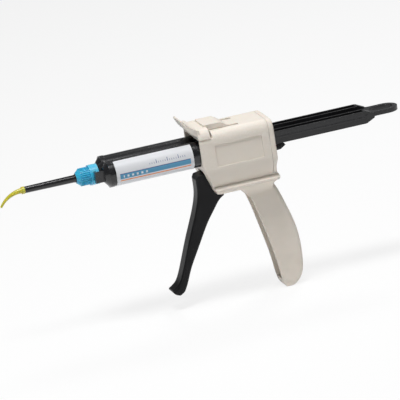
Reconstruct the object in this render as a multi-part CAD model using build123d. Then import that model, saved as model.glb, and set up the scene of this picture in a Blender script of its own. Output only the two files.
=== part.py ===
"""Hand-held dispensing gun for two-component dental material, with a cartridge fitted.

Units are millimetres. +X runs back along the plunger, +Z is up, and the gun is
symmetric about Y = 0. The origin is on the plunger axis, in the body's front plane.
"""
from build123d import *
from math import cos, radians, sin
import os

# ---------------------------------------------------------------- driving dimensions
BODY_LENGTH = 68.0          # front plane to rear face
BODY_HALF_WIDTH = 24.0
BODY_TOP = 19.3
BODY_BOTTOM = -39.4
TOP_CORNER = 8.5            # radius of the long top edges
WALL = 2.4
PANEL_DEPTH = 0.7
COVER_SEAM = 63.0           # where the rear cover meets the body
COVER_FOOT = -29.5          # lowest point of the rear cover
SEAM_GAP = 0.2

WAIST_Z = -31.0             # crease above the saddle ridge
WAIST_HALF_WIDTH = 17.5
RIDGE_HALF_WIDTH = 22.0
RIDGE_TOP = -33.3
RIDGE_FOOT = -35.4
GRIP_HALF_WIDTH = 10.5
GRIP_WALL = 2.6
GRIP_BACK_WALL = 3.4
GRIP_BOTTOM = -135.5
GRIP_ROUND = 4.5

BARREL_PITCH = 21.8         # between the two barrel axes
BARREL_RADIUS = 11.2
BARREL_WALL = 1.6
BORE_RADIUS = BARREL_RADIUS - BARREL_WALL
BARREL_REAR = 7.5
BARREL_FRONT = -81.0
FLANGE_THICKNESS = 3.4
FLANGE_OVER = 2.4           # how far the flange stands out of the barrels
CLEAR = 0.3                 # free gap between parts that pass each other
RUNNING = 0.05              # radial clearance of a running fit

ROD_RIB = 1.6
ROD_HALF_WIDTH = 5.0        # one rod, measured from its barrel axis
ROD_HALF_HEIGHT = 5.5
WEB_HALF = 1.0
FLANGE_OUT = 0.5            # thin flange along the outer side of each rod
ROD_FRONT = 1.0
DISC_RADIUS = BORE_RADIUS - 0.7
BRIDGE_FRONT = 88.0         # the two rods are joined behind this
ROD_REAR = 154.0
LOOP_REAR = 188.0
LOOP_HALF_WIDTH = 11.0
LOOP_HALF_THICK = 1.9
TOOTH_PITCH = 4.0
TOOTH_DEPTH = 2.6

TRIGGER_HALF_WIDTH = 8.0
TRIGGER_X, TRIGGER_Z = 16.0, -23.3
TRIGGER_PIN = 1.6
NOSE_SWING = ROD_HALF_HEIGHT * -1 - TRIGGER_Z - CLEAR   # pivot to pawl nose
PAWL_X, PAWL_Z = 24.0, -15.0
PAWL_PIN = 1.2
RELEASE_X, RELEASE_Z = 42.0, -15.0
RELEASE_PIN = 1.4
LATCH_X, LATCH_Z = 35.6, 15.8
LATCH_PIN = 1.2
LATCH_SEAT = 14.0           # the body is cut down to this under the latch
LATCH_LENGTH = 10.6
LATCH_BAY = 12.6            # length of the body's cut-down front, under the latch
LATCH_TOP = 23.0
STEM_HALF_WIDTH = 13.2
ARM_Y, ARM_WIDTH = 11.5, 3.8

COLLAR_FRONT, COLLAR_RIB_REAR, COLLAR_REAR = -104.5, -96.0, -88.2
COLLAR_RIB_RADIUS, COLLAR_RADIUS, COLLAR_MOUTH = 7.9, 9.0, 4.1
WING_RADIUS = 12.1
TUBE_FRONT = -154.0
TUBE_BORE = 2.3
TIP_BEND = 57.0             # degrees turned by the curved tip
TIP_ARC = 24.0              # radius of that turn

TUBE_BASE = 5.6             # radius of the mixing tube's foot, inside the collar
TUBE_NECK = 3.45
PRONG_HALF_HEIGHT = 5.0
LABEL_FRONT, LABEL_REAR = -76.6, -6.3
LABEL_THICK = 0.25

# worked out from the sizes above
PAWL_ARM_INNER = 5.6
PAWL_OUTER = BARREL_PITCH / 2 + ROD_HALF_WIDTH - ROD_RIB - 0.5
TOOTH_INNER = BARREL_PITCH / 2 - ROD_HALF_WIDTH + ROD_RIB + 0.5
NOSE_X = TRIGGER_X + 4.4
PLUNGER_DOOR_HALF = BARREL_PITCH / 2 + ROD_HALF_WIDTH + FLANGE_OUT + 0.4
SCREW_INSET_HIGH, SCREW_INSET_LOW = 6.6, 7.4
SCREW_SPOTS = [(side * (BODY_HALF_WIDTH - inset), z) for side in (1, -1)
               for inset, z in ((SCREW_INSET_HIGH, 12.2), (SCREW_INSET_LOW, -19.5))]
SCREW_BOSS, SCREW_CORE, SCREW_HEAD = 3.9, 1.1, 2.3

OUT = "parts"


# ---------------------------------------------------------------- helpers
def side_slab(sketch, y_low, y_high):
    """A sketch drawn in X and Z, made solid between two Y values."""
    return Pos(0, y_high, 0) * extrude(Plane.XZ * sketch, amount=y_high - y_low)


def along(sketch, x_low, x_high):
    """A sketch drawn in Y and Z, made solid between two X values."""
    return Pos(x_low, 0, 0) * extrude(Plane.YZ * sketch, amount=x_high - x_low)


def outline(*edges):
    return make_face(list(edges))


def poly(*points):
    return make_face(Polyline(*points, close=True))


def rod(radius, x_low, x_high, y=0.0, z=0.0):
    return along(Pos(y, z) * Circle(radius), x_low, x_high)


def cross_pin(radius, x, z, half_length):
    return side_slab(Pos(x, z) * Circle(radius), -half_length, half_length)


def block(x_low, x_high, y_low, y_high, z_low, z_high):
    centre = Pos((x_low + x_high) / 2, (y_low + y_high) / 2, (z_low + z_high) / 2)
    return centre * Box(x_high - x_low, y_high - y_low, z_high - z_low)


def beside(x_low, x_high, side, y_inner, z_low, z_high, width=20.0):
    """A block on one side (1 or -1) of the plane of symmetry, from y_inner outwards."""
    y_edges = sorted((side * y_inner, side * (y_inner + width)))
    return block(x_low, x_high, y_edges[0], y_edges[1], z_low, z_high)


def cone(radius_a, radius_b, x_a, x_b, y=0.0):
    """A cone along X from x_a, with radius_a, to x_b, with radius_b."""
    low = Plane((x_a, y, 0), x_dir=(0, 1, 0), z_dir=(1, 0, 0)) * Circle(radius_a)
    high = Plane((x_b, y, 0), x_dir=(0, 1, 0), z_dir=(1, 0, 0)) * Circle(radius_b)
    return loft([low, high])


def twin(radius):
    """The stadium shape round both barrels, drawn in Y and Z."""
    half = BARREL_PITCH / 2
    ends = Pos(-half, 0) * Circle(radius) + Pos(half, 0) * Circle(radius)
    return ends + Rectangle(2 * half, 2 * radius)


def both_sides(make):
    """The sum of a shape built at +Y and at -Y."""
    return make(1) + make(-1)


# ---------------------------------------------------------------- housing shapes
def housing_section(inset=0.0):
    """Half-profile of the housing in Y and Z, mirrored: top, sides, waist, ridge, grip."""
    w = BODY_HALF_WIDTH - inset
    top = BODY_TOP - inset
    r = TOP_CORNER - inset
    waist = WAIST_HALF_WIDTH - inset
    ridge = RIDGE_HALF_WIDTH - inset
    grip = GRIP_HALF_WIDTH - inset
    low = GRIP_BOTTOM - 5
    half = [
        Line((0, top), (w - r, top)),
        CenterArc((w - r, top - r), r, 0, 90),
        Line((w, top - r), (w, -13.0)),
        Spline((w, -13.0), (w - 1.9, -22.0), (waist, WAIST_Z), tangents=[(0, -1), (-0.8, -1)]),
        Line((waist, WAIST_Z), (ridge, RIDGE_TOP)),
        Line((ridge, RIDGE_TOP), (ridge, RIDGE_FOOT)),
        Spline((ridge, RIDGE_FOOT), (grip + 3.6, -39.0), (grip, -47.0), tangents=[(-1, -0.15), (0, -1)]),
        Line((grip, -47.0), (grip, low)),
        Line((grip, low), (0, low)),
    ]
    mirrored = [mirror(edge, about=Plane.YZ) for edge in half]
    return outline(*half, *mirrored)


# height, front edge and rear edge of the grip, from its root to its foot
GRIP_STATIONS = [(-41.0, 39.5, 64.5), (-55.0, 43.8, 70.6), (-75.0, 48.9, 77.0), (-95.0, 53.4, 80.7),
                 (-117.0, 57.4, 80.6), (-129.0, 59.2, 77.4), (GRIP_BOTTOM, 61.8, 70.0)]


def grip():
    """The grip, lofted through level sections with round rear corners."""
    rings = []
    for z, front, rear in GRIP_STATIONS:
        ring = Pos((front + rear) / 2, 0) * Rectangle(rear - front, 2 * GRIP_HALF_WIDTH)
        corners = ring.vertices().sort_by(Axis.X)
        ring = fillet(corners[:2], 0.8)
        ring = fillet(ring.vertices().sort_by(Axis.X)[-2:], min(GRIP_ROUND, 0.4 * (rear - front)))
        rings.append(Pos(0, 0, z) * ring)
    return loft(rings)


def housing_silhouette():
    """Side view of the housing above the grip: sloping front, flat bottom, rear tang."""
    return poly((0, BODY_TOP), (0, -9.0), (8.0, -30.5), (9.6, -35.6), (11.6, -38.4), (15.0, BODY_BOTTOM),
                (33.0, BODY_BOTTOM), (41.4, -49.0), (62.0, -49.0), (63.0, -41.0), (64.6, -38.2),
                (66.2, -35.8), (68.0, -33.4), (68.0, -31.6), (66.2, -28.5), (66.0, -22.5),
                (BODY_LENGTH, -15.0), (BODY_LENGTH, BODY_TOP))


def housing_outer():
    shape = along(housing_section(), -1, BODY_LENGTH + 12) & side_slab(housing_silhouette(), -30, 30)
    return shape + grip()


def rear_zone():
    """The space taken by the rear cover."""
    return block(COVER_SEAM, BODY_LENGTH + 5, -40, 40, COVER_FOOT, BODY_TOP + 10)


def gun_body():
    outer = housing_outer()
    body = outer - rear_zone()
    # seat of the cartridge: saddle open to the top, and a deeper slot for its flange
    seat_half = BARREL_PITCH / 2 + BARREL_RADIUS + CLEAR
    seat_rear = BARREL_REAR + 0.7
    seat_floor = BARREL_RADIUS + FLANGE_OVER + CLEAR
    saddle = along(twin(BARREL_RADIUS + CLEAR) + Pos(0, 15) * Rectangle(2 * seat_half, 30), -1, seat_rear)
    flange_slot = along(Rectangle(2 * seat_half, 2 * seat_floor), BARREL_REAR - FLANGE_THICKNESS - 0.5, seat_rear)
    body -= saddle
    body -= flange_slot
    body -= block(-1, LATCH_BAY, -40, 40, LATCH_SEAT, 40)
    # hollow inside, with the front bulkhead left standing
    room = along(housing_section(WALL), 10.6, COVER_SEAM + 1)
    room &= block(0, 90, -40, 40, -28.0, 40)
    room -= block(10.5, LATCH_BAY + WALL, -40, 40, LATCH_SEAT - WALL, 40)
    body -= room
    body -= block(8, 12, -PLUNGER_DOOR_HALF, PLUNGER_DOOR_HALF, -ROD_HALF_HEIGHT - 0.8, ROD_HALF_HEIGHT + 0.8)
    body -= both_sides(lambda s: rod(DISC_RADIUS + CLEAR, 8, 12, s * BARREL_PITCH / 2))
    # cheeks that carry the trigger pin and the release lever's pin
    cheek_outline = poly((4.0, -17.2), (10.6, -17.2), (11.5, -19.4), (33.0, -19.4), (37.0, -11.6),
                         (47.0, -11.6), (49.0, -19.4), (56.0, -26.0), (56.0, -29.0), (4.0, -29.0))
    cheek = side_slab(cheek_outline, TRIGGER_HALF_WIDTH + 0.6, TRIGGER_HALF_WIDTH + 3.0)
    body += (cheek + mirror(cheek, about=Plane.XZ)) & outer
    # slot for the trigger, open to the front and below
    slot = block(-1, 34.0, -TRIGGER_HALF_WIDTH - 0.6, TRIGGER_HALF_WIDTH + 0.6, -60, -17.2)
    body -= slot
    body -= block(10.6, 34.0, -TRIGGER_HALF_WIDTH - 0.6, TRIGGER_HALF_WIDTH + 0.6, -20, -6)
    # grip channel, open to the front
    back = [(rear - GRIP_BACK_WALL, z) for z, front, rear in GRIP_STATIONS[:-1]]
    mouth = GRIP_STATIONS[0][1] - 10
    rest = Polyline(back[-1], (mouth, back[-1][1]), (mouth, -44.0), (52.0, -44.0), back[0])
    channel = outline(Spline(*back), rest)
    body -= side_slab(channel, -GRIP_HALF_WIDTH + GRIP_WALL, GRIP_HALF_WIDTH - GRIP_WALL)
    # shallow panels in the sides
    panel_shape = fillet(poly((13.5, -12.0), (13.5, 7.6), (56.0, 7.6), (56.0, -12.0)).vertices(), 1.2)
    panel = side_slab(panel_shape, BODY_HALF_WIDTH - PANEL_DEPTH, BODY_HALF_WIDTH + 3)
    body -= panel + mirror(panel, about=Plane.XZ)
    # hinge lugs and slots for the latch arms
    body += block(31.5, 39.8, -16.4, 16.4, 12.4, BODY_TOP - WALL + 0.5)
    body -= both_sides(lambda s: block(24.0, 40.0, s * ARM_Y - ARM_WIDTH / 2 - CLEAR,
                                       s * ARM_Y + ARM_WIDTH / 2 + CLEAR, 10, 30))
    # screw bosses for the rear cover
    for y, z in SCREW_SPOTS:
        body += rod(SCREW_BOSS, 50.0, COVER_SEAM, y, z) & outer
        body -= rod(SCREW_CORE + RUNNING, 51.0, COVER_SEAM + 1, y, z)
    # spring seat under the release lever
    body += block(57.0, 62.0, -9.0, 9.0, -29.0, -25.0)
    # pin holes
    body -= cross_pin(TRIGGER_PIN + RUNNING, TRIGGER_X, TRIGGER_Z, TRIGGER_HALF_WIDTH + 3.2)
    body -= cross_pin(RELEASE_PIN + RUNNING, RELEASE_X, RELEASE_Z, TRIGGER_HALF_WIDTH + 3.2)
    body -= cross_pin(LATCH_PIN + RUNNING, LATCH_X, LATCH_Z, 15.8)
    return body


def rear_cover():
    cover = housing_outer() & block(COVER_SEAM + SEAM_GAP, BODY_LENGTH + 5, -40, 40, COVER_FOOT + SEAM_GAP, 40)
    rear_face = cover.faces().filter_by(Axis.X).sort_by(Axis.X)[-1]
    cover = fillet(rear_face.outer_wire().edges(), 1.3)
    inner = along(housing_section(WALL), COVER_SEAM - 1, BODY_LENGTH - WALL - 2.2)
    cover -= inner & block(0, 90, -40, 40, COVER_FOOT + WALL, 40)
    for y, z in SCREW_SPOTS:
        cover += rod(SCREW_BOSS, COVER_SEAM + SEAM_GAP, BODY_LENGTH - 3, y, z) & housing_outer()
        cover -= rod(SCREW_CORE + 0.3, COVER_SEAM - 1, BODY_LENGTH + 1, y, z)
        cover -= rod(SCREW_HEAD + 0.2, BODY_LENGTH - 2.4, BODY_LENGTH + 1, y, z)
    door = ROD_HALF_HEIGHT + 0.9
    cover -= block(50, 90, -PLUNGER_DOOR_HALF, PLUNGER_DOOR_HALF, -door, door)
    cover -= block(50, 90, -8.2, 8.2, -19.0, -door + 1)
    return cover


def cover_screws():
    def screw(y, z):
        shank = rod(SCREW_CORE, 52.0, BODY_LENGTH - 2.3, y, z)
        head = rod(SCREW_HEAD, BODY_LENGTH - 2.3, BODY_LENGTH - 0.9, y, z)
        cross = block(BODY_LENGTH - 1.6, BODY_LENGTH, y - 1.5, y + 1.5, z - 0.3, z + 0.3)
        cross += block(BODY_LENGTH - 1.6, BODY_LENGTH, y - 0.3, y + 0.3, z - 1.5, z + 1.5)
        return shank + head - cross
    return Compound(children=[screw(y, z) for y, z in SCREW_SPOTS])


# ---------------------------------------------------------------- latch
def latch_section():
    w, r, top = BODY_HALF_WIDTH, TOP_CORNER, LATCH_TOP
    half = [Line((0, top), (w - r, top)), CenterArc((w - r, top - r), r, 0, 90),
            Line((w, top - r), (w, LATCH_SEAT + CLEAR)),
            Line((w, LATCH_SEAT + CLEAR), (0, LATCH_SEAT + CLEAR))]
    return outline(*half, *[mirror(edge, about=Plane.YZ) for edge in half])


def latch():
    bar = along(latch_section(), 0, LATCH_LENGTH)
    bar -= block(1.6, LATCH_LENGTH + 1, -20.5, 20.5, 5, BODY_TOP - 0.3)
    under = BODY_TOP + CLEAR
    stem_side = poly((LATCH_LENGTH - 2, under), (LATCH_LENGTH - 2, LATCH_TOP + 1.6), (23.6, LATCH_TOP + 1.4),
                     (26.0, LATCH_TOP), (30.2, under + 0.5), (30.2, under))
    stem = side_slab(stem_side, -STEM_HALF_WIDTH, STEM_HALF_WIDTH)
    stem = fillet(stem.edges().filter_by(Axis.Z), 1.0)
    lip_profile = outline(Spline((2.0, LATCH_TOP - 6.4), (-3.2, 19.4), (-7.6, 25.0), (-10.4, 30.4)),
                          ThreePointArc((-10.4, 30.4), (-10.0, 31.6), (-8.7, 31.4)),
                          Spline((-8.7, 31.4), (-5.4, 27.2), (-1.8, 24.4), (2.0, LATCH_TOP)),
                          Line((2.0, LATCH_TOP), (2.0, LATCH_TOP - 6.4)))
    lip = side_slab(lip_profile, -BODY_HALF_WIDTH, BODY_HALF_WIDTH)
    root, tip = 22.4, 11.8
    plan = outline(Line((3, -root), (3, root)), Line((3, root), (0, root)),
                   Spline((0, root), (-3.4, 16.0), (-11.0, tip)), Line((-11.0, tip), (-11.0, -tip)),
                   Spline((-11.0, -tip), (-3.4, -16.0), (0, -root)), Line((0, -root), (3, -root)))
    lip &= Pos(0, 0, 10) * extrude(plan, amount=30)
    arm = side_slab(poly((25.6, LATCH_Z - 2.6), (LATCH_X, LATCH_Z - 2.6), (LATCH_X, LATCH_Z + 2.6),
                         (30.0, LATCH_Z + 2.6), (28.6, BODY_TOP + 1.2), (25.6, BODY_TOP + 1.2))
                    + Pos(LATCH_X, LATCH_Z) * Circle(2.6), ARM_Y - ARM_WIDTH / 2, ARM_Y + ARM_WIDTH / 2)
    shape = bar + stem + lip + arm + mirror(arm, about=Plane.XZ)
    return shape - cross_pin(LATCH_PIN + RUNNING, LATCH_X, LATCH_Z, 20)


# ---------------------------------------------------------------- trigger and pawls
def trigger():
    front = Spline((-3.9, -24.0), (-4.2, -36.0), (-8.4, -52.0), (-18.0, -75.6), (-26.0, -96.8),
                   (-32.0, -110.6), (-39.6, -117.2), tangents=[(0, -1), (-1, -0.6)])
    rear = Spline((18.5, -43.2), (10.0, -51.6), (2.8, -61.3), (-5.9, -75.8), (-13.6, -89.5),
                  (-20.4, -102.2), (-28.2, -119.4), tangents=[(-1, -0.45), (-0.6, -1)])
    toe = Spline((-39.6, -117.2), (-39.2, -119.4), (-35.4, -121.9), (-28.2, -119.4),
                 tangents=[(-0.3, -1), (0.9, 0.5)])
    top = Polyline((-3.9, -24.0), (-1.6, -21.0), (6.0, -19.6), (12.0, -18.2), (19.4, -14.0), (20.4, -11.4),
                   (24.0, -11.4), (27.4, -13.6), (27.4, -17.0), (23.4, -22.0), (22.6, -30.0), (18.5, -43.2))
    lever = side_slab(outline(front, rear, toe, top), -TRIGGER_HALF_WIDTH, TRIGGER_HALF_WIDTH)
    long_edges = [e for e in lever.edges() if e.length > 80]
    lever = fillet(long_edges, 2.6)
    # narrow head that carries the pawl, and the hollow that holds the return spring
    head_y = PAWL_ARM_INNER - CLEAR
    lever -= both_sides(lambda s: beside(17.6, 30, s, head_y, -19.0, -8))
    lever -= cross_pin(5.0, TRIGGER_X, TRIGGER_Z, 3.4)
    lever -= cross_pin(TRIGGER_PIN + RUNNING, TRIGGER_X, TRIGGER_Z, 20)
    lever -= cross_pin(PAWL_PIN + RUNNING, PAWL_X, PAWL_Z, 20)
    lever -= block(PAWL_X - 5, PAWL_X + 5, -1.6, 1.6, PAWL_Z - 2.6, -8)
    return lever


def drive_pawl():
    nose_z = TRIGGER_Z + (NOSE_SWING ** 2 - (NOSE_X - TRIGGER_X) ** 2) ** 0.5
    arm = poly((NOSE_X, nose_z), (NOSE_X + 2.6, nose_z - 1.6), (PAWL_X + 2.6, PAWL_Z + 1.4),
               (PAWL_X + 2.2, PAWL_Z - 1.8), (PAWL_X - 1.6, PAWL_Z - 2.2), (PAWL_X - 2.9, PAWL_Z),
               (NOSE_X - 1.2, nose_z - 3.6), (NOSE_X - 0.8, nose_z - 0.3))
    side = side_slab(arm, PAWL_ARM_INNER, PAWL_OUTER)
    low_bar = poly((NOSE_X - 0.9, nose_z - 1.0), (NOSE_X + 1.6, nose_z - 1.4),
                   (NOSE_X + 1.6, nose_z - 3.2), (NOSE_X - 1.1, nose_z - 3.2))
    bridge = side_slab(low_bar, -PAWL_ARM_INNER - 1, PAWL_ARM_INNER + 1)
    trim = block(NOSE_X - 3, NOSE_X + 3, -TOOTH_INNER, TOOTH_INNER, nose_z - 0.9, 0)
    pawl = side + mirror(side, about=Plane.XZ) + bridge - trim
    return pawl - cross_pin(PAWL_PIN + RUNNING, PAWL_X, PAWL_Z, 20)


def release_lever():
    nose = -ROD_HALF_HEIGHT - CLEAR
    bar = poly((RELEASE_X - 3.2, RELEASE_Z + 1.5), (RELEASE_X - 1.5, RELEASE_Z + 3.0),
               (54.0, -10.6), (66.0, -10.2), (72.0, -10.4), (80.0, -8.8), (80.8, -10.2), (76.0, -13.2), (66.0, -13.8), (54.0, -14.6),
               (RELEASE_X + 1.5, RELEASE_Z - 3.2), (RELEASE_X - 2.6, RELEASE_Z - 2.4))
    lever = side_slab(bar, -7.2, 7.2)
    tooth = poly((52.0, -12.6), (51.6, -8.6), (53.4, nose), (56.0, nose - 2.0), (57.6, -12.6))
    bar_side = poly((51.8, -12.6), (51.6, -8.6), (57.0, -8.6), (57.6, -12.6))
    cross_bar = side_slab(bar_side, -PAWL_OUTER, PAWL_OUTER)
    nose_side = side_slab(tooth, TOOTH_INNER, PAWL_OUTER)
    lever += cross_bar + nose_side + mirror(nose_side, about=Plane.XZ)
    return lever - cross_pin(RELEASE_PIN + RUNNING, RELEASE_X, RELEASE_Z, 20)


# ---------------------------------------------------------------- springs
def coil(radius, wire, turns, pitch):
    """A helical spring standing on Z = 0, wound up +Z."""
    path = Helix(pitch, pitch * turns, radius)
    section = Plane(path @ 0, x_dir=(0, 0, 1), z_dir=path % 0) * Circle(wire / 2)
    return sweep(section, path, is_frenet=True)


def torsion_spring(radius, wire, turns, x, z, leg, leg_turn):
    """A coil round a cross pin, with one straight leg."""
    pitch = wire * 1.15
    body = Pos(x, pitch * turns / 2, z) * Rot(90, 0, 0) * coil(radius, wire, turns, pitch)
    arm = Pos(radius, 0, leg / 2) * Cylinder(wire / 2, leg)
    return body + Pos(x, pitch * turns / 2, z) * Rot(0, leg_turn, 0) * arm


def release_spring():
    low, high = -24.9, -14.5
    wire = 0.8
    turns = 5.5
    return Pos(59.4, 0, low + wire / 2) * coil(2.2, wire, turns, (high - low - wire) / turns)


# ---------------------------------------------------------------- plunger
def plunger_rack():
    half = BARREL_PITCH / 2

    def one_rod(side):
        y = side * half
        shape = block(ROD_FRONT, ROD_REAR, y - ROD_HALF_WIDTH, y + ROD_HALF_WIDTH, -WEB_HALF, WEB_HALF)
        for edge in (y - ROD_HALF_WIDTH, y + ROD_HALF_WIDTH - ROD_RIB):
            shape += block(ROD_FRONT, ROD_REAR, edge, edge + ROD_RIB, -ROD_HALF_HEIGHT, ROD_HALF_HEIGHT)
        shape += beside(ROD_FRONT, ROD_REAR - 1, side, half + ROD_HALF_WIDTH, -0.7, 0.7, FLANGE_OUT)
        shape += block(ROD_FRONT, ROD_FRONT + 2.4, y - ROD_HALF_WIDTH, y + ROD_HALF_WIDTH,
                       -ROD_HALF_HEIGHT, ROD_HALF_HEIGHT)
        return shape + block(ROD_FRONT + 9, ROD_REAR - 6, y - ROD_HALF_WIDTH + 0.4, y + ROD_HALF_WIDTH - 0.4,
                             -ROD_HALF_HEIGHT, -WEB_HALF + 0.1)

    rack = one_rod(1) + one_rod(-1)
    teeth_front = ROD_FRONT + 10
    count = int((ROD_REAR - 8 - teeth_front) / TOOTH_PITCH)
    notch = poly((teeth_front, -ROD_HALF_HEIGHT - 1), (teeth_front, -ROD_HALF_HEIGHT + TOOTH_DEPTH),
                 (teeth_front + 0.7, -ROD_HALF_HEIGHT + TOOTH_DEPTH), (teeth_front + 2.6, -ROD_HALF_HEIGHT - 1))
    cutter = side_slab(notch, TOOTH_INNER - 0.5, PAWL_OUTER + 0.5)
    cutter += mirror(cutter, about=Plane.XZ)
    cuts = [Pos(i * TOOTH_PITCH, 0, 0) * cutter for i in range(count)]
    rack -= cuts
    # bridge between the rods, the tapered shoulder and the pull loop
    rack += block(BRIDGE_FRONT, ROD_REAR, -half, half, -WEB_HALF, WEB_HALF)
    side = half + ROD_HALF_WIDTH
    middle = (ROD_REAR + LOOP_REAR) / 2 + 3
    loop_end = LOOP_REAR - LOOP_HALF_WIDTH
    plan = outline(Line((ROD_REAR - 4, -side), (ROD_REAR - 4, side)), Line((ROD_REAR - 4, side), (ROD_REAR, side)),
                   Spline((ROD_REAR, side), (ROD_REAR + 8, LOOP_HALF_WIDTH + 0.8), (middle, LOOP_HALF_WIDTH),
                          tangents=[(1, -0.15), (1, 0)]),
                   Line((middle, LOOP_HALF_WIDTH), (loop_end, LOOP_HALF_WIDTH)),
                   ThreePointArc((loop_end, LOOP_HALF_WIDTH), (LOOP_REAR, 0), (loop_end, -LOOP_HALF_WIDTH)),
                   Line((loop_end, -LOOP_HALF_WIDTH), (middle, -LOOP_HALF_WIDTH)),
                   Spline((middle, -LOOP_HALF_WIDTH), (ROD_REAR + 8, -LOOP_HALF_WIDTH - 0.8), (ROD_REAR, -side),
                          tangents=[(-1, 0), (-1, -0.15)]),
                   Line((ROD_REAR, -side), (ROD_REAR - 4, -side)))
    band = LOOP_HALF_WIDTH - 4.2
    hole = SlotOverall(LOOP_REAR - 4.2 - (ROD_REAR + 9), 2 * band)
    plate = extrude(plan, amount=LOOP_HALF_THICK, both=True)
    plate -= extrude(Pos((LOOP_REAR - 4.2 + ROD_REAR + 9) / 2, 0) * hole, amount=LOOP_HALF_THICK + 1, both=True)
    high, thin = ROD_HALF_HEIGHT, LOOP_HALF_THICK
    ramp = poly((ROD_REAR - 1, -high), (ROD_REAR + 1, -high), (ROD_REAR + 8.5, -thin),
                (ROD_REAR + 8.5, thin), (ROD_REAR + 1, high), (ROD_REAR - 1, high))
    shoulder = side_slab(ramp, half - ROD_HALF_WIDTH + 3.4, side - 0.9)
    return rack + plate + shoulder + mirror(shoulder, about=Plane.XZ)


def pusher_disc(side):
    y = side * BARREL_PITCH / 2
    disc = rod(DISC_RADIUS, ROD_FRONT - 3.0, ROD_FRONT - 0.4, y)
    return disc + rod(4.4, ROD_FRONT - 0.4, ROD_FRONT, y)


# ---------------------------------------------------------------- cartridge
def cartridge_body():
    half = BARREL_PITCH / 2
    barrels = Pos(-half, 0) * Circle(BARREL_RADIUS) + Pos(half, 0) * Circle(BARREL_RADIUS)
    shape = along(barrels, BARREL_FRONT, BARREL_REAR)
    shape += along(Rectangle(2 * 5.0, 2 * 4.4), BARREL_FRONT, BARREL_REAR)
    flange_height = 2 * (BARREL_RADIUS + FLANGE_OVER)
    flange = fillet(Rectangle(2 * (half + BARREL_RADIUS) - 0.8, flange_height).vertices(), 7.0)
    shape += along(flange, BARREL_REAR - FLANGE_THICKNESS, BARREL_REAR)
    for side in (1, -1):
        shape += rod(BARREL_RADIUS + 0.4, BARREL_FRONT - 1, BARREL_FRONT + 3, side * half)
        shape += cone(BARREL_RADIUS - 0.2, BARREL_RADIUS - 4.6, BARREL_FRONT - 1, BARREL_FRONT - 4.6, side * half)
    shape += cone(9.4, 6.4, BARREL_FRONT - 0.5, COLLAR_REAR + 0.4)
    shape += rod(4.0, BARREL_FRONT - 12, BARREL_FRONT)
    leg = WING_RADIUS + CLEAR
    for side in (1, -1):
        shape += beside(-93.6, BARREL_FRONT, side, leg, -PRONG_HALF_HEIGHT, PRONG_HALF_HEIGHT, 1.9)
        shape += beside(-93.6, -91.6, side, 9.5, -PRONG_HALF_HEIGHT, PRONG_HALF_HEIGHT, leg - 8.5)
        shape -= rod(BORE_RADIUS, BARREL_FRONT + 2.5, BARREL_REAR + 1, side * half)
        shape -= rod(1.0, BARREL_FRONT - 13, BARREL_FRONT + 3, side * 2.8)
    return shape


def cartridge_label():
    """A thin wrap from the top of the -Y barrel, round its side and under both barrels."""
    inner = BARREL_RADIUS + 0.04
    half = BARREL_PITCH / 2
    wrap = along(twin(inner + LABEL_THICK) - twin(inner), LABEL_FRONT, LABEL_REAR)
    top_edge = radians(74)
    edge_y = -half - inner * cos(top_edge)
    keep = block(-90, 0, -40, edge_y, -20, 20) + block(-90, 0, -40, half + 6, -20, -2)
    return wrap & keep


def piston(side):
    y = side * BARREL_PITCH / 2
    face = ROD_FRONT - 3.0 - 0.3
    shape = rod(BORE_RADIUS - 0.35, face - 6.6, face, y)
    for x in (face - 1.6, face - 5.4):
        shape += rod(BORE_RADIUS - 0.08, x - 0.5, x + 0.5, y)
    return shape - rod(6.4, face - 2.2, face + 1, y)


# ---------------------------------------------------------------- mixer
def mixer_collar():
    shape = rod(COLLAR_RADIUS, COLLAR_RIB_REAR, COLLAR_REAR)
    shape += rod(COLLAR_RIB_RADIUS - 0.5, COLLAR_FRONT, COLLAR_RIB_REAR)
    shape += cone(COLLAR_MOUTH + 0.5, COLLAR_RIB_RADIUS - 0.4, COLLAR_FRONT - 3.5, COLLAR_FRONT)
    rib_count = 28
    rib = block(COLLAR_FRONT, COLLAR_RIB_REAR, -0.375, 0.375, COLLAR_RIB_RADIUS - 1, COLLAR_RIB_RADIUS)
    for i in range(rib_count):
        shape += Rot(i * 360 / rib_count, 0, 0) * rib
    wing = Circle(WING_RADIUS) & Rectangle(2 * WING_RADIUS, 8.0)
    shape += along(wing, -91.2, COLLAR_REAR)
    shape -= rod(TUBE_BASE + CLEAR, -103.4, COLLAR_REAR + 1)
    return shape - rod(TUBE_NECK + CLEAR, -110, -100)


def mixer_tube():
    shape = rod(TUBE_BASE, -103.1, -93.4)
    shape += rod(TUBE_NECK, -109.6, -103.0)
    shape += cone(2.95, 3.3, TUBE_FRONT, -109.0)
    shape -= rod(TUBE_BORE, TUBE_FRONT - 1, -100)
    return shape - rod(4.0 + CLEAR, -101.0, -92)


def mixing_element():
    shape = rod(0.55, TUBE_FRONT + 1, -101.2)
    blade = 4.0
    count = int((-101.2 - TUBE_FRONT - 1) / blade)
    for i in range(count):
        turn = Pos(TUBE_FRONT + 1 + (i + 0.5) * blade, 0, 0) * Rot(45 + 90 * (i % 2), 0, 0)
        shape += turn * Box(blade, 2 * TUBE_BORE - 0.6, 0.8)
    return shape


def intraoral_tip():
    start = TUBE_FRONT - 3.0
    stations = 7

    def tapered(r_start, r_end):
        rings = []
        for i in range(stations):
            share = i / (stations - 1)
            turn = radians(TIP_BEND * share)
            centre = (start - TIP_ARC * sin(turn), 0, -TIP_ARC * (1 - cos(turn)))
            radius = r_start + (r_end - r_start) * share ** 0.75
            rings.append(Plane(centre, x_dir=(0, 1, 0), z_dir=(-cos(turn), 0, -sin(turn))) * Circle(radius))
        return loft(rings)

    shape = rod(3.25, start, TUBE_FRONT - 0.3) + tapered(2.5, 0.95)
    return shape - rod(1.2, start, TUBE_FRONT + 1) - tapered(1.2, 0.5)


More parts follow.
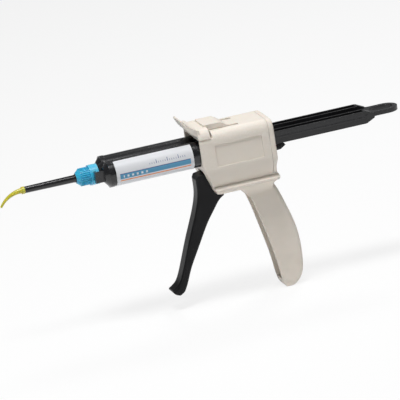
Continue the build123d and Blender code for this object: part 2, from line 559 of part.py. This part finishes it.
# ---------------------------------------------------------------- write the parts
PARTS = {
    "gun_body": gun_body,
    "rear_cover": rear_cover,
    "cover_screws": cover_screws,
    "latch": latch,
    "latch_pin": lambda: cross_pin(LATCH_PIN, LATCH_X, LATCH_Z, 15.6),
    "trigger": trigger,
    "trigger_pin": lambda: cross_pin(TRIGGER_PIN, TRIGGER_X, TRIGGER_Z, TRIGGER_HALF_WIDTH + 3.0),
    "trigger_spring": lambda: torsion_spring(2.6, 0.9, 4, TRIGGER_X, TRIGGER_Z, 2.0, 20),
    "drive_pawl": drive_pawl,
    "pawl_pin": lambda: cross_pin(PAWL_PIN, PAWL_X, PAWL_Z, PAWL_OUTER - 0.2),
    "pawl_spring": lambda: torsion_spring(1.7, 0.5, 4, PAWL_X, PAWL_Z, 1.2, 200),
    "release_lever": release_lever,
    "release_pin": lambda: cross_pin(RELEASE_PIN, RELEASE_X, RELEASE_Z, TRIGGER_HALF_WIDTH + 3.0),
    "release_spring": release_spring,
    "plunger_rack": plunger_rack,
    "pusher_disc_left": lambda: pusher_disc(-1),
    "pusher_disc_right": lambda: pusher_disc(1),
    "cartridge_body": cartridge_body,
    "cartridge_label": cartridge_label,
    "piston_left": lambda: piston(-1),
    "piston_right": lambda: piston(1),
    "mixer_collar": mixer_collar,
    "mixer_tube": mixer_tube,
    "mixing_element": mixing_element,
    "intraoral_tip": intraoral_tip,
}

os.makedirs(OUT, exist_ok=True)
for name, make in PARTS.items():
    export_step(make(), f"{OUT}/{name}.step")
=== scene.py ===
import math

import bpy
from mathutils import Matrix, Vector

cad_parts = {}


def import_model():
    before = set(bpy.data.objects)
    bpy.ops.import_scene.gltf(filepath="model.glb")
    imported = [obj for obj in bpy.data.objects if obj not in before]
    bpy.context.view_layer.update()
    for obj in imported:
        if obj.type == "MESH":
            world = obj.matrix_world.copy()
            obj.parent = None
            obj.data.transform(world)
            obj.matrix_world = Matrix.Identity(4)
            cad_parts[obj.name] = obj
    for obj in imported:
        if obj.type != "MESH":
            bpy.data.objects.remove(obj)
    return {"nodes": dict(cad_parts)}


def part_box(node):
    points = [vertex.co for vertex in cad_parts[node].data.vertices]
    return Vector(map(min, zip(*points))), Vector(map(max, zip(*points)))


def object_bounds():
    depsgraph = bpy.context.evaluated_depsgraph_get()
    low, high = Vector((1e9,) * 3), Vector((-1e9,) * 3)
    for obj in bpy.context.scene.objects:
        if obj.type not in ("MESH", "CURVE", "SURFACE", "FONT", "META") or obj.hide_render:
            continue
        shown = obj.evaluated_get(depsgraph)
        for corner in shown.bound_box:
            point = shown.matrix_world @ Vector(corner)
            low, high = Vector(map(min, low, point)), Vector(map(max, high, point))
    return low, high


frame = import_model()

MM = 0.001
CAD_BOX = [list(corner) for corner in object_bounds()]
NODES = frame["nodes"]
LABEL_LOW, LABEL_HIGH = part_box("cartridge_label")
LABEL_FRONT_X, LABEL_REAR_X = LABEL_LOW[0], LABEL_HIGH[0]
PRINT_PLANE_Y = -0.0109     # the label is printed on the -Y side of this plane

FLOOR_HALF = 14.0           # half the floor's width
FLOOR_GAP = 0.0004          # the floor lies this far under the lowest point
FLOOR_GLOW = 0.80           # share of white glow that the camera sees in the floor
WORLD_STRENGTH = 0.16

CAMERA_AZIMUTH, CAMERA_ELEVATION, CAMERA_ROLL = -14.3, 15.5, 9.0     # degrees
CAMERA_DISTANCE = 5.0
VIEW_WIDTH = 0.3478         # width of the view at the target
TARGET_RIGHT, TARGET_UP = 0.0055, -0.0421       # the target, from the origin in the view's plane


# ---------------------------------------------------------------- node helpers
class Graph:
    """A node tree with short calls for the nodes that the materials share."""

    def __init__(self, name):
        self.material = bpy.data.materials.new(name)
        self.material.use_nodes = True
        self.tree = self.material.node_tree
        self.tree.nodes.clear()
        self.output = self.node("ShaderNodeOutputMaterial")
        self.coords = self.node("ShaderNodeTexCoord").outputs["Object"]

    def node(self, kind, **settings):
        made = self.tree.nodes.new(kind)
        for key, value in settings.items():
            setattr(made, key, value)
        return made

    def put(self, value, socket):
        """A link or a plain value into a socket."""
        if isinstance(value, bpy.types.NodeSocket):
            self.tree.links.new(value, socket)
        else:
            socket.default_value = value

    def math(self, operation, a, b=0.0, clamp=False):
        made = self.node("ShaderNodeMath", operation=operation, use_clamp=clamp)
        self.put(a, made.inputs[0])
        self.put(b, made.inputs[1])
        return made.outputs[0]

    def noise(self, size_mm, detail=4.0, roughness=0.55, stretch=(1, 1, 1)):
        """Noise whose features are about size_mm across."""
        mapping = self.node("ShaderNodeMapping")
        self.put(self.coords, mapping.inputs["Vector"])
        mapping.inputs["Scale"].default_value = stretch
        made = self.node("ShaderNodeTexNoise")
        self.put(mapping.outputs[0], made.inputs["Vector"])
        made.inputs["Scale"].default_value = 1 / (size_mm * MM)
        made.inputs["Detail"].default_value = detail
        made.inputs["Roughness"].default_value = roughness
        return made.outputs["Fac"]

    def span(self, value, low, high, to_low=0.0, to_high=1.0):
        made = self.node("ShaderNodeMapRange")
        self.put(value, made.inputs["Value"])
        for index, number in enumerate((low, high, to_low, to_high), start=1):
            made.inputs[index].default_value = number
        return made.outputs[0]

    def mix(self, factor, a, b):
        made = self.node("ShaderNodeMix", data_type="RGBA")
        self.put(factor, made.inputs[0])
        self.put(a, made.inputs[6])
        self.put(b, made.inputs[7])
        return made.outputs[2]

    def axes(self):
        made = self.node("ShaderNodeSeparateXYZ")
        self.put(self.coords, made.inputs[0])
        return made.outputs

    def soft_edges(self, radius_mm):
        made = self.node("ShaderNodeBevel", samples=6)
        made.inputs["Radius"].default_value = radius_mm * MM
        return made.outputs[0]

    def bump(self, height, depth_mm, strength=1.0, normal=None):
        made = self.node("ShaderNodeBump")
        made.inputs["Strength"].default_value = strength
        made.inputs["Distance"].default_value = depth_mm * MM
        self.put(height, made.inputs["Height"])
        if normal is not None:
            self.put(normal, made.inputs["Normal"])
        return made.outputs[0]

    def shader(self, colour, roughness, normal, **settings):
        made = self.node("ShaderNodeBsdfPrincipled")
        self.put(colour, made.inputs["Base Color"])
        self.put(roughness, made.inputs["Roughness"])
        self.put(normal, made.inputs["Normal"])
        for key, value in settings.items():
            made.inputs[key.replace("_", " ")].default_value = value
        self.tree.links.new(made.outputs[0], self.output.inputs["Surface"])
        return self.material


def rgb(red, green, blue):
    return (red, green, blue, 1.0)


def band(graph, value, low, high, blur=0.00006):
    """1 where value lies between low and high, with a narrow soft edge."""
    rise = graph.span(value, low - blur, low + blur)
    fall = graph.span(value, high - blur, high + blur, 1.0, 0.0)
    return graph.math("MULTIPLY", rise, fall)


# ---------------------------------------------------------------- materials
def moulded(name, colour, shade, roughness, grain_mm, grain_depth_mm, edge_mm, wear, **settings):
    """Injection-moulded plastic: spark grain, faint flow marks, rubbed edges and handling scuffs."""
    g = Graph(name)
    rounded = g.soft_edges(edge_mm)
    flow = g.noise(22.0, detail=3.0, stretch=(0.6, 1.0, 1.4))
    grain = g.noise(grain_mm, detail=2.0, roughness=0.7)
    scuff = g.span(g.noise(5.0, detail=8.0, roughness=0.75, stretch=(1.0, 1.0, 2.4)), 0.60, 0.74)
    base = g.mix(g.span(flow, 0.35, 0.68), colour, shade)
    geometry = g.node("ShaderNodeNewGeometry")
    edge = g.span(geometry.outputs["Pointiness"], 0.53, 0.60)
    rubbed = g.math("MULTIPLY", edge, g.span(g.noise(1.6), 0.35, 0.65))
    base = g.mix(g.math("MULTIPLY", rubbed, 0.35), base, wear)
    polish = g.math("ADD", grain, g.math("MULTIPLY", scuff, -0.5))
    rough = g.span(polish, 0.0, 1.0, roughness - 0.10, roughness + 0.12)
    normal = g.bump(grain, grain_depth_mm, 0.7, rounded)
    return g.shader(base, rough, normal, **settings)


def steel(name, colour):
    g = Graph(name)
    streaks = g.noise(0.5, detail=5.0, stretch=(1.0, 12.0, 1.0))
    base = g.mix(streaks, colour, rgb(*(0.75 * c for c in colour[:3])))
    rough = g.span(streaks, 0.3, 0.7, 0.24, 0.42)
    return g.shader(base, rough, g.bump(streaks, 0.01, 0.5, g.soft_edges(0.15)), Metallic=1.0)


def label_film(name):
    """White printed film. Plain bands, a tick scale and a dotted row in blue, orange and grey."""
    g = Graph(name)
    x, y, z = g.axes()
    white, blue, navy = rgb(0.72, 0.73, 0.75), rgb(0.07, 0.30, 0.50), rgb(0.02, 0.07, 0.24)
    orange, grey = rgb(0.80, 0.24, 0.05), rgb(0.50, 0.54, 0.58)
    print_grain = g.noise(0.35, detail=2.0)
    ground = g.mix(g.span(print_grain, 0.3, 0.7), white, rgb(0.68, 0.69, 0.72))
    front, rear = LABEL_FRONT_X, LABEL_REAR_X

    def paint(under, mask, colour):
        return g.mix(mask, under, colour)

    side = g.math("LESS_THAN", y, PRINT_PLANE_Y)
    length = band(g, x, front + 0.003, rear - 0.003)

    def stripe(low, high, extra=None):
        mask = g.math("MULTIPLY", g.math("MULTIPLY", band(g, z, low * MM, high * MM), side), length)
        return mask if extra is None else g.math("MULTIPLY", mask, extra)

    col = paint(ground, stripe(-3.9, 0.3), blue)
    col = paint(col, stripe(0.3, 0.9), navy)
    col = paint(col, stripe(-6.0, -5.0), orange)
    # graduations every 2 mm, longer every 10 mm
    fine = g.math("LESS_THAN", g.math("FRACT", g.math("DIVIDE", x, 0.002)), 0.16)
    coarse = g.math("LESS_THAN", g.math("FRACT", g.math("DIVIDE", x, 0.010)), 0.05)
    scale = band(g, x, front + 0.030, rear - 0.006)
    col = paint(col, g.math("MULTIPLY", stripe(3.4, 4.8, fine), scale), navy)
    col = paint(col, g.math("MULTIPLY", stripe(3.4, 6.4, coarse), scale), navy)
    # a row of light squares in the blue band, and grey hatching beneath
    squares = g.math("LESS_THAN", g.math("FRACT", g.math("DIVIDE", x, 0.0042)), 0.42)
    window = band(g, x, front + 0.006, front + 0.030)
    col = paint(col, g.math("MULTIPLY", stripe(-2.8, -0.9, squares), window), white)
    hatch = g.math("LESS_THAN", g.math("FRACT", g.math("DIVIDE", g.math("ADD", x, z), 0.0016)), 0.35)
    col = paint(col, g.math("MULTIPLY", stripe(-9.2, -7.4, hatch), 0.6), grey)
    wrinkle = g.noise(9.0, detail=3.0, stretch=(0.4, 1.0, 1.0))
    normal = g.bump(wrinkle, 0.12, 0.35)
    return g.shader(col, g.span(print_grain, 0.2, 0.8, 0.30, 0.42), normal, Coat_Weight=0.25)


CREAM = moulded("cream_abs", rgb(0.790, 0.725, 0.640), rgb(0.755, 0.690, 0.605),
                0.46, 0.45, 0.030, 0.7, rgb(0.86, 0.82, 0.76),
                Subsurface_Weight=0.06, Subsurface_Scale=0.002)
CREAM_LATCH = moulded("cream_abs_latch", rgb(0.800, 0.735, 0.652), rgb(0.770, 0.705, 0.620),
                      0.42, 0.45, 0.026, 0.6, rgb(0.88, 0.84, 0.78),
                      Subsurface_Weight=0.06, Subsurface_Scale=0.002)
BLACK_SATIN = moulded("black_nylon", rgb(0.006, 0.006, 0.007), rgb(0.009, 0.009, 0.010),
                      0.40, 0.35, 0.020, 0.9, rgb(0.05, 0.05, 0.055), Specular_IOR_Level=0.22)
BLACK_RACK = moulded("black_acetal", rgb(0.007, 0.007, 0.008), rgb(0.011, 0.011, 0.012),
                     0.30, 0.5, 0.012, 0.35, rgb(0.05, 0.05, 0.055))
BLACK_GLOSS = moulded("black_polypropylene", rgb(0.006, 0.006, 0.007), rgb(0.010, 0.010, 0.012),
                      0.24, 0.9, 0.010, 0.4, rgb(0.04, 0.04, 0.045), Coat_Weight=0.3)
BLUE = moulded("blue_polypropylene", rgb(0.035, 0.40, 0.64), rgb(0.045, 0.47, 0.72),
               0.28, 0.6, 0.012, 0.3, rgb(0.35, 0.72, 0.85), Subsurface_Weight=0.18, Subsurface_Scale=0.002)
YELLOW = moulded("yellow_polypropylene", rgb(0.66, 0.60, 0.035), rgb(0.74, 0.69, 0.06),
                 0.26, 0.6, 0.010, 0.2, rgb(0.85, 0.82, 0.30),
                 Transmission_Weight=0.25, Subsurface_Weight=0.2, Subsurface_Scale=0.001)
NATURAL = moulded("natural_polyethylene", rgb(0.72, 0.72, 0.69), rgb(0.66, 0.66, 0.63),
                  0.40, 0.6, 0.015, 0.3, rgb(0.85, 0.85, 0.83),
                  Subsurface_Weight=0.15, Subsurface_Scale=0.001)
STEEL = steel("plain_steel", rgb(0.60, 0.60, 0.61))
PAWL_STEEL = steel("sintered_steel", rgb(0.42, 0.42, 0.44))
LABEL = label_film("label_film")

FINISH = {
    "gun_body": CREAM, "rear_cover": CREAM, "latch": CREAM_LATCH,
    "trigger": BLACK_SATIN, "release_lever": BLACK_SATIN,
    "plunger_rack": BLACK_RACK, "pusher_disc_left": BLACK_RACK, "pusher_disc_right": BLACK_RACK,
    "cartridge_body": BLACK_GLOSS, "mixer_tube": BLACK_GLOSS, "cartridge_label": LABEL,
    "piston_left": NATURAL, "piston_right": NATURAL, "mixing_element": NATURAL,
    "mixer_collar": BLUE, "intraoral_tip": YELLOW, "drive_pawl": PAWL_STEEL,
}
for node_name, node in NODES.items():
    finish = FINISH.get(node_name, STEEL)
    node.data.materials.clear()
    node.data.materials.append(finish)


# ---------------------------------------------------------------- floor, world, light
def emission_or(graph, plain, camera_share):
    """The plain shader, with a share of white glow for the camera and for reflections."""
    path = graph.node("ShaderNodeLightPath")
    seen = graph.math("MAXIMUM", path.outputs["Is Camera Ray"], path.outputs["Is Glossy Ray"])
    seen = graph.math("MAXIMUM", seen, path.outputs["Is Transmission Ray"])
    glow = graph.node("ShaderNodeEmission")
    glow.inputs["Color"].default_value = rgb(1.0, 1.0, 1.0)
    blend = graph.node("ShaderNodeMixShader")
    graph.put(graph.math("MULTIPLY", seen, camera_share), blend.inputs[0])
    graph.tree.links.new(plain, blend.inputs[1])
    graph.tree.links.new(glow.outputs[0], blend.inputs[2])
    graph.tree.links.new(blend.outputs[0], graph.output.inputs["Surface"])


def floor():
    low = CAD_BOX[0][2] - FLOOR_GAP
    mesh = bpy.data.meshes.new("studio_floor")
    half = FLOOR_HALF
    corners = [(-half, -half, low), (half, -half, low), (half, half, low), (-half, half, low)]
    mesh.from_pydata(corners, [], [(0, 1, 2, 3)])
    ground = bpy.data.objects.new("studio_floor", mesh)
    bpy.context.collection.objects.link(ground)
    g = Graph("studio_paper")
    grain = g.noise(3.0, detail=4.0)
    plain = g.node("ShaderNodeBsdfDiffuse")
    g.put(g.mix(grain, rgb(0.90, 0.90, 0.90), rgb(0.93, 0.93, 0.93)), plain.inputs["Color"])
    emission_or(g, plain.outputs[0], FLOOR_GLOW)
    mesh.materials.append(g.material)


def world():
    made = bpy.data.worlds.new("studio")
    bpy.context.scene.world = made
    made.use_nodes = True
    tree = made.node_tree
    tree.nodes.clear()
    output = tree.nodes.new("ShaderNodeOutputWorld")
    lit = tree.nodes.new("ShaderNodeBackground")
    lit.inputs["Color"].default_value = rgb(0.97, 0.985, 1.0)
    lit.inputs["Strength"].default_value = WORLD_STRENGTH
    seen = tree.nodes.new("ShaderNodeBackground")
    seen.inputs["Color"].default_value = rgb(1.0, 1.0, 1.0)
    path = tree.nodes.new("ShaderNodeLightPath")
    blend = tree.nodes.new("ShaderNodeMixShader")
    tree.links.new(path.outputs["Is Camera Ray"], blend.inputs[0])
    tree.links.new(lit.outputs[0], blend.inputs[1])
    tree.links.new(seen.outputs[0], blend.inputs[2])
    tree.links.new(blend.outputs[0], output.inputs[0])


def soft_box(name, place, aim, size, power):
    light = bpy.data.lights.new(name, "AREA")
    light.shape = "RECTANGLE"
    light.size, light.size_y = size
    light.energy = power
    holder = bpy.data.objects.new(name, light)
    holder.location = place
    holder.rotation_euler = (Vector(aim) - Vector(place)).to_track_quat("-Z", "Y").to_euler()
    bpy.context.collection.objects.link(holder)


def camera():
    """Long lens from the -Y side, a little above, rolled so that the plunger rises to the rear."""
    azimuth = math.radians(CAMERA_AZIMUTH)
    elevation = math.radians(CAMERA_ELEVATION)
    roll = math.radians(CAMERA_ROLL)
    right = Vector((math.cos(azimuth), math.sin(azimuth), 0))
    to_camera = Vector((math.sin(azimuth) * math.cos(elevation), -math.cos(azimuth) * math.cos(elevation),
                        math.sin(elevation)))
    up = to_camera.cross(right)
    rolled_right = right * math.cos(roll) - up * math.sin(roll)
    rolled_up = right * math.sin(roll) + up * math.cos(roll)
    target = rolled_right * TARGET_RIGHT + rolled_up * TARGET_UP
    lens = bpy.data.cameras.new("camera")
    lens.angle = 2 * math.atan(VIEW_WIDTH / 2 / CAMERA_DISTANCE)
    lens.clip_start = 0.05
    lens.clip_end = 60.0
    holder = bpy.data.objects.new("camera", lens)
    turn = Matrix((rolled_right, rolled_up, to_camera)).transposed().to_4x4()
    holder.matrix_world = Matrix.Translation(target + to_camera * CAMERA_DISTANCE) @ turn
    bpy.context.collection.objects.link(holder)
    bpy.context.scene.camera = holder


floor()
world()
camera()
soft_box("key_above", (-0.15, -0.30, 1.30), (0.0, 0.0, -0.03), (0.5, 0.35), 16.0)
soft_box("fill_front", (-1.0, -1.1, 0.30), (0.0, 0.0, -0.04), (0.4, 0.4), 1.7)
soft_box("rim_behind", (0.6, 0.8, 1.0), (0.05, 0.0, 0.0), (0.4, 0.3), 5.0)

bpy.context.scene.view_settings.view_transform = "Standard"
